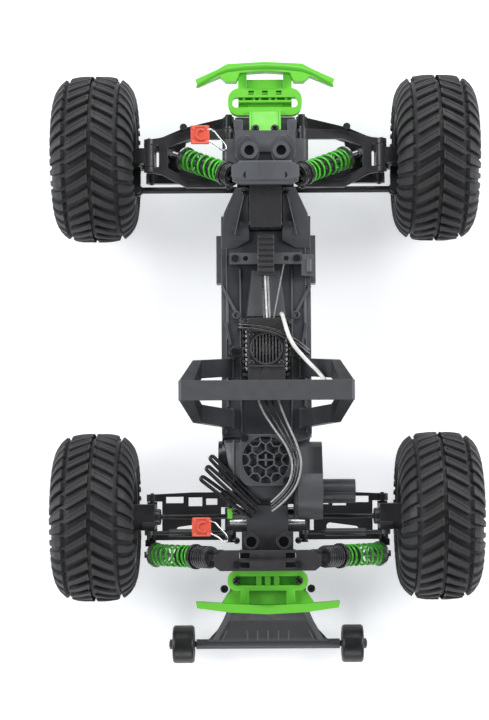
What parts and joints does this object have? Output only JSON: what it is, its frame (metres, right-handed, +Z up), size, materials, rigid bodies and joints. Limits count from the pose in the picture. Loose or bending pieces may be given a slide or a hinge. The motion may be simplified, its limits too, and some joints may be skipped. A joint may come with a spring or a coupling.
{
  "type": "rc monster truck chassis",
  "caption": "Radio-controlled monster truck with its body shell off: chunky-tyred wheels, sprung arms, steering linkage, geared motor drive, roll hoop, bumpers and wheelie bar.",
  "frame": {"origin": "under the middle of the truck, on the ground", "axes": "+X to the truck's right, +Y forward, +Z up"},
  "size_m": [0.336, 0.4812, 0.15],
  "materials": {
    "tyre_rubber": "matte",
    "dark_grey_composite": "fine texture",
    "black_composite": "satin",
    "black_gloss": "gloss",
    "green_plastic": "satin gloss",
    "green_spring_steel": "powder coat",
    "steel": "bright",
    "cable_sleeve": "satin",
    "battery_wrap": "shrink wrap"
  },
  "bodies": {
    "chassis": {"battery_pack": "battery_wrap", "chassis_tub": "dark_grey_composite", "coil_springs": "green_spring_steel", "drive_motor": "steel", "front_bulkhead": "dark_grey_composite", "front_bumper": "green_plastic", "front_shock_tower": "black_composite", "gear_cover": "dark_grey_composite", "gearbox_case": "dark_grey_composite", "motor_fan_grille": "dark_grey_composite", "rear_bumper": "green_plastic", "rear_shock_tower": "black_composite", "roll_hoop": "dark_grey_composite", "speed_controller": "black_composite", "steel_hardware": "steel", "steering_servo": "black_composite", "wheelie_bar": "black_composite", "wire_bracket": "dark_grey_composite", "wiring_loom": "cable_sleeve"},
    "servo_horn": {"servo_horn": "black_composite"},
    "drag_link": {"drag_link": "black_composite"},
    "steering_crank": {"steering_crank": "black_composite"},
    "diff_gear": {"diff_gear": "steel"},
    "spur_gear": {"spur_gear": "black_composite"},
    "motor_rotor": {"motor_rotor": "steel"},
    "motor_fan": {"motor_fan": "black_composite"},
    "tie_rod_end_left": {"tie_rod_end_left": "black_composite"},
    "tie_rod_end_right": {"tie_rod_end_right": "black_composite"},
    "tie_rod_left": {"tie_rod_left": "black_composite"},
    "tie_rod_right": {"tie_rod_right": "black_composite"},
    "front_lower_arm_left": {"front_lower_arm_left": "black_composite"},
    "front_lower_arm_right": {"front_lower_arm_right": "black_composite"},
    "front_upper_arm_left": {"front_upper_arm_left": "black_composite"},
    "front_upper_arm_right": {"front_upper_arm_right": "black_composite"},
    "caster_block_left": {"caster_block_left": "black_composite"},
    "caster_block_right": {"caster_block_right": "black_composite"},
    "steering_knuckle_left": {"steering_knuckle_left": "black_composite"},
    "steering_knuckle_right": {"steering_knuckle_right": "black_composite"},
    "front_wheel_left": {"front_wheel_left": "tyre_rubber"},
    "front_wheel_right": {"front_wheel_right": "tyre_rubber"},
    "rear_wheel_left": {"rear_wheel_left": "tyre_rubber"},
    "rear_wheel_right": {"rear_wheel_right": "tyre_rubber"},
    "rear_lower_arm_left": {"rear_lower_arm_left": "black_composite"},
    "rear_lower_arm_right": {"rear_lower_arm_right": "black_composite"},
    "rear_hub_left": {"rear_hub_left": "black_composite"},
    "rear_hub_right": {"rear_hub_right": "black_composite"},
    "camber_link_left": {"camber_link_left": "black_composite"},
    "camber_link_right": {"camber_link_right": "black_composite"},
    "driveshaft_left": {"driveshaft_left": "steel"},
    "driveshaft_right": {"driveshaft_right": "steel"},
    "front_shock_body_left": {"front_shock_body_left": "black_gloss"},
    "front_shock_body_right": {"front_shock_body_right": "black_gloss"},
    "front_shock_shaft_left": {"front_shock_shaft_left": "steel"},
    "front_shock_shaft_right": {"front_shock_shaft_right": "steel"},
    "rear_shock_body_left": {"rear_shock_body_left": "black_gloss"},
    "rear_shock_body_right": {"rear_shock_body_right": "black_gloss"},
    "rear_shock_shaft_left": {"rear_shock_shaft_left": "steel"},
    "rear_shock_shaft_right": {"rear_shock_shaft_right": "steel"},
    "wheelie_wheel_left": {"wheelie_wheel_left": "black_composite"},
    "wheelie_wheel_right": {"wheelie_wheel_right": "black_composite"}
  },
  "joints": [
    {"name": "front_left_arm", "type": "hinge", "parent": "chassis", "child": "front_lower_arm_left", "pos_m": [-0.0295, 0.163, 0.05], "axis": [0, 1, 0], "range_deg": [-12, 12], "stiffness_Nm_per_rad": 7, "springref_deg": -2.86},
    {"name": "front_left_shock_swing", "type": "hinge", "parent": "chassis", "child": "front_shock_body_left", "pos_m": [-0.022, 0.141, 0.112], "axis": [-0.4603, -0.8878, 0], "range_deg": [-4.72, 4.72]},
    {"name": "front_left_shock_stroke", "type": "slide", "parent": "front_shock_body_left", "child": "front_shock_shaft_left", "axis": [-0.6639, 0.3442, -0.6639], "range_m": [-0.00786, 0.00786]},
    {"name": "rear_left_arm", "type": "hinge", "parent": "chassis", "child": "rear_lower_arm_left", "pos_m": [-0.0295, -0.122, 0.05], "axis": [0, 1, 0], "range_deg": [-12, 12], "stiffness_Nm_per_rad": 7, "springref_deg": -3.44},
    {"name": "rear_left_shock_swing", "type": "hinge", "parent": "chassis", "child": "rear_shock_body_left", "pos_m": [-0.037, -0.152, 0.11], "axis": [0, -1, 0], "range_deg": [-6.73, 6.73]},
    {"name": "rear_left_shock_stroke", "type": "slide", "parent": "rear_shock_body_left", "child": "rear_shock_shaft_left", "axis": [-0.7263, 0, -0.6874], "range_m": [-0.01049, 0.01049], "deforming": ["coil_springs"]},
    {"name": "front_left_upper_arm_swing", "type": "hinge", "parent": "chassis", "child": "front_upper_arm_left", "pos_m": [-0.0295, 0.163, 0.082], "axis": [0, 1, 0], "range_deg": [-12, 12]},
    {"name": "front_left_caster_level", "type": "hinge", "parent": "front_lower_arm_left", "child": "caster_block_left", "pos_m": [-0.092, 0.163, 0.05], "axis": [0, 1, 0], "range_deg": [-12, 12]},
    {"name": "front_left_steer", "type": "hinge", "parent": "caster_block_left", "child": "steering_knuckle_left", "pos_m": [-0.103, 0.163, 0.066], "axis": [0, 0, 1], "range_deg": [-23.4, 23.4]},
    {"name": "front_left_wheel_spin", "type": "hinge", "parent": "steering_knuckle_left", "child": "front_wheel_left", "pos_m": [-0.118, 0.163, 0.066], "axis": [1, 0, 0], "continuous": true},
    {"name": "rear_left_camber_link_swing", "type": "hinge", "parent": "chassis", "child": "camber_link_left", "pos_m": [-0.0295, -0.134, 0.082], "axis": [0, 1, 0], "range_deg": [-12, 12]},
    {"name": "rear_left_hub_level", "type": "hinge", "parent": "rear_lower_arm_left", "child": "rear_hub_left", "pos_m": [-0.092, -0.122, 0.05], "axis": [0, 1, 0], "range_deg": [-12, 12]},
    {"name": "rear_left_wheel_spin", "type": "hinge", "parent": "rear_hub_left", "child": "rear_wheel_left", "pos_m": [-0.118, -0.122, 0.066], "axis": [1, 0, 0], "continuous": true},
    {"name": "rear_left_driveshaft_spin", "type": "hinge", "parent": "rear_lower_arm_left", "child": "driveshaft_left", "pos_m": [-0.056, -0.122, 0.066], "axis": [1, 0, 0], "continuous": true},
    {"name": "wheelie_left_wheel_spin", "type": "hinge", "parent": "chassis", "child": "wheelie_wheel_left", "pos_m": [-0.068, -0.226, 0.026], "axis": [1, 0, 0], "continuous": true},
    {"name": "front_right_arm", "type": "hinge", "parent": "chassis", "child": "front_lower_arm_right", "pos_m": [0.0295, 0.163, 0.05], "axis": [0, -1, 0], "range_deg": [-12, 12], "stiffness_Nm_per_rad": 7, "springref_deg": -2.86},
    {"name": "front_right_shock_swing", "type": "hinge", "parent": "chassis", "child": "front_shock_body_right", "pos_m": [0.022, 0.141, 0.112], "axis": [-0.4603, 0.8878, 0], "range_deg": [-4.72, 4.72]},
    {"name": "front_right_shock_stroke", "type": "slide", "parent": "front_shock_body_right", "child": "front_shock_shaft_right", "axis": [0.6639, 0.3442, -0.6639], "range_m": [-0.00786, 0.00786]},
    {"name": "rear_right_arm", "type": "hinge", "parent": "chassis", "child": "rear_lower_arm_right", "pos_m": [0.0295, -0.122, 0.05], "axis": [0, -1, 0], "range_deg": [-12, 12], "stiffness_Nm_per_rad": 7, "springref_deg": -3.44},
    {"name": "rear_right_shock_swing", "type": "hinge", "parent": "chassis", "child": "rear_shock_body_right", "pos_m": [0.037, -0.152, 0.11], "axis": [0, 1, 0], "range_deg": [-6.73, 6.73]},
    {"name": "rear_right_shock_stroke", "type": "slide", "parent": "rear_shock_body_right", "child": "rear_shock_shaft_right", "axis": [0.7263, 0, -0.6874], "range_m": [-0.01049, 0.01049]},
    {"name": "front_right_upper_arm_swing", "type": "hinge", "parent": "chassis", "child": "front_upper_arm_right", "pos_m": [0.0295, 0.163, 0.082], "axis": [0, -1, 0], "range_deg": [-12, 12]},
    {"name": "front_right_caster_level", "type": "hinge", "parent": "front_lower_arm_right", "child": "caster_block_right", "pos_m": [0.092, 0.163, 0.05], "axis": [0, -1, 0], "range_deg": [-12, 12]},
    {"name": "front_right_steer", "type": "hinge", "parent": "caster_block_right", "child": "steering_knuckle_right", "pos_m": [0.103, 0.163, 0.066], "axis": [0, 0, 1], "range_deg": [-23.4, 23.4]},
    {"name": "front_right_wheel_spin", "type": "hinge", "parent": "steering_knuckle_right", "child": "front_wheel_right", "pos_m": [0.118, 0.163, 0.066], "axis": [1, 0, 0], "continuous": true},
    {"name": "rear_right_camber_link_swing", "type": "hinge", "parent": "chassis", "child": "camber_link_right", "pos_m": [0.0295, -0.134, 0.082], "axis": [0, -1, 0], "range_deg": [-12, 12]},
    {"name": "rear_right_hub_level", "type": "hinge", "parent": "rear_lower_arm_right", "child": "rear_hub_right", "pos_m": [0.092, -0.122, 0.05], "axis": [0, -1, 0], "range_deg": [-12, 12]},
    {"name": "rear_right_wheel_spin", "type": "hinge", "parent": "rear_hub_right", "child": "rear_wheel_right", "pos_m": [0.118, -0.122, 0.066], "axis": [1, 0, 0], "continuous": true},
    {"name": "rear_right_driveshaft_spin", "type": "hinge", "parent": "rear_lower_arm_right", "child": "driveshaft_right", "pos_m": [0.056, -0.122, 0.066], "axis": [1, 0, 0], "continuous": true},
    {"name": "wheelie_right_wheel_spin", "type": "hinge", "parent": "chassis", "child": "wheelie_wheel_right", "pos_m": [0.068, -0.226, 0.026], "axis": [1, 0, 0], "continuous": true},
    {"name": "servo_horn_turn", "type": "hinge", "parent": "chassis", "child": "servo_horn", "pos_m": [0, 0.1194, 0.065], "axis": [0, 0, 1], "range_deg": [-28.5, 28.5]},
    {"name": "steering_crank_turn", "type": "hinge", "parent": "chassis", "child": "steering_crank", "pos_m": [0, 0.1594, 0.0625], "axis": [0, 0, 1], "range_deg": [-28.5, 28.5]},
    {"name": "drag_link_turn", "type": "hinge", "parent": "servo_horn", "child": "drag_link", "pos_m": [0.014, 0.1194, 0.066], "axis": [0, 0, 1], "range_deg": [-28.5, 28.5]},
    {"name": "tie_rod_end_left_turn", "type": "hinge", "parent": "steering_crank", "child": "tie_rod_end_left", "pos_m": [0, 0.1394, 0.058], "axis": [0, 0, 1], "range_deg": [-28.5, 28.5]},
    {"name": "tie_rod_left_swing", "type": "hinge", "parent": "tie_rod_end_left", "child": "tie_rod_left", "pos_m": [-0.013, 0.1394, 0.058], "axis": [0, 1, 0], "range_deg": [-8.53, 8.53]},
    {"name": "tie_rod_end_right_turn", "type": "hinge", "parent": "steering_crank", "child": "tie_rod_end_right", "pos_m": [0, 0.1394, 0.058], "axis": [0, 0, 1], "range_deg": [-28.5, 28.5]},
    {"name": "tie_rod_right_swing", "type": "hinge", "parent": "tie_rod_end_right", "child": "tie_rod_right", "pos_m": [0.013, 0.1394, 0.058], "axis": [0, -1, 0], "range_deg": [-8.53, 8.53]},
    {"name": "diff_gear_spin", "type": "hinge", "parent": "chassis", "child": "diff_gear", "pos_m": [0, -0.122, 0.066], "axis": [1, 0, 0], "continuous": true},
    {"name": "spur_gear_spin", "type": "hinge", "parent": "chassis", "child": "spur_gear", "pos_m": [0.034, -0.102, 0.087], "axis": [1, 0, 0], "continuous": true},
    {"name": "motor_rotor_spin", "type": "hinge", "parent": "chassis", "child": "motor_rotor", "pos_m": [0, -0.0768, 0.07676], "axis": [1, 0, 0], "continuous": true},
    {"name": "motor_fan_spin", "type": "hinge", "parent": "chassis", "child": "motor_fan", "pos_m": [-0.001, -0.077, 0.097], "axis": [0, 0, 1], "continuous": true}
  ],
  "couplings": [
    {"joint": "front_left_shock_swing", "follows": "front_left_arm", "ratio": -0.36849},
    {"joint": "front_left_shock_stroke", "follows": "front_left_arm", "m_per_rad": -0.036118},
    {"joint": "rear_left_shock_swing", "follows": "rear_left_arm", "ratio": -0.53623},
    {"joint": "rear_left_shock_stroke", "follows": "rear_left_arm", "m_per_rad": -0.048677},
    {"joint": "front_left_upper_arm_swing", "follows": "front_left_arm", "ratio": 1},
    {"joint": "front_left_caster_level", "follows": "front_left_arm", "ratio": -1},
    {"joint": "rear_left_camber_link_swing", "follows": "rear_left_arm", "ratio": 1},
    {"joint": "rear_left_hub_level", "follows": "rear_left_arm", "ratio": -1},
    {"joint": "rear_left_driveshaft_spin", "follows": "rear_left_wheel_spin", "ratio": 1},
    {"joint": "front_right_shock_swing", "follows": "front_right_arm", "ratio": -0.36849},
    {"joint": "front_right_shock_stroke", "follows": "front_right_arm", "m_per_rad": -0.036118},
    {"joint": "rear_right_shock_swing", "follows": "rear_right_arm", "ratio": -0.53623},
    {"joint": "rear_right_shock_stroke", "follows": "rear_right_arm", "m_per_rad": -0.048677},
    {"joint": "front_right_upper_arm_swing", "follows": "front_right_arm", "ratio": 1},
    {"joint": "front_right_caster_level", "follows": "front_right_arm", "ratio": -1},
    {"joint": "rear_right_camber_link_swing", "follows": "rear_right_arm", "ratio": 1},
    {"joint": "rear_right_hub_level", "follows": "rear_right_arm", "ratio": -1},
    {"joint": "rear_right_driveshaft_spin", "follows": "rear_left_wheel_spin", "ratio": 1},
    {"joint": "rear_right_wheel_spin", "follows": "rear_left_wheel_spin", "ratio": 1},
    {"joint": "front_right_steer", "follows": "front_left_steer", "ratio": 1},
    {"joint": "servo_horn_turn", "follows": "front_left_steer", "ratio": 1.1941},
    {"joint": "steering_crank_turn", "follows": "front_left_steer", "ratio": 1.1941},
    {"joint": "drag_link_turn", "follows": "front_left_steer", "ratio": -1.1941},
    {"joint": "tie_rod_end_left_turn", "follows": "front_left_steer", "ratio": -1.1941},
    {"joint": "tie_rod_left_swing", "follows": "front_left_arm", "ratio": 0.69444},
    {"joint": "tie_rod_end_right_turn", "follows": "front_left_steer", "ratio": -1.1941},
    {"joint": "tie_rod_right_swing", "follows": "front_right_arm", "ratio": 0.69444},
    {"joint": "diff_gear_spin", "follows": "rear_left_wheel_spin", "ratio": 1},
    {"joint": "spur_gear_spin", "follows": "rear_left_wheel_spin", "ratio": -3.4615},
    {"joint": "motor_rotor_spin", "follows": "rear_left_wheel_spin", "ratio": 8.3077}
  ]
}
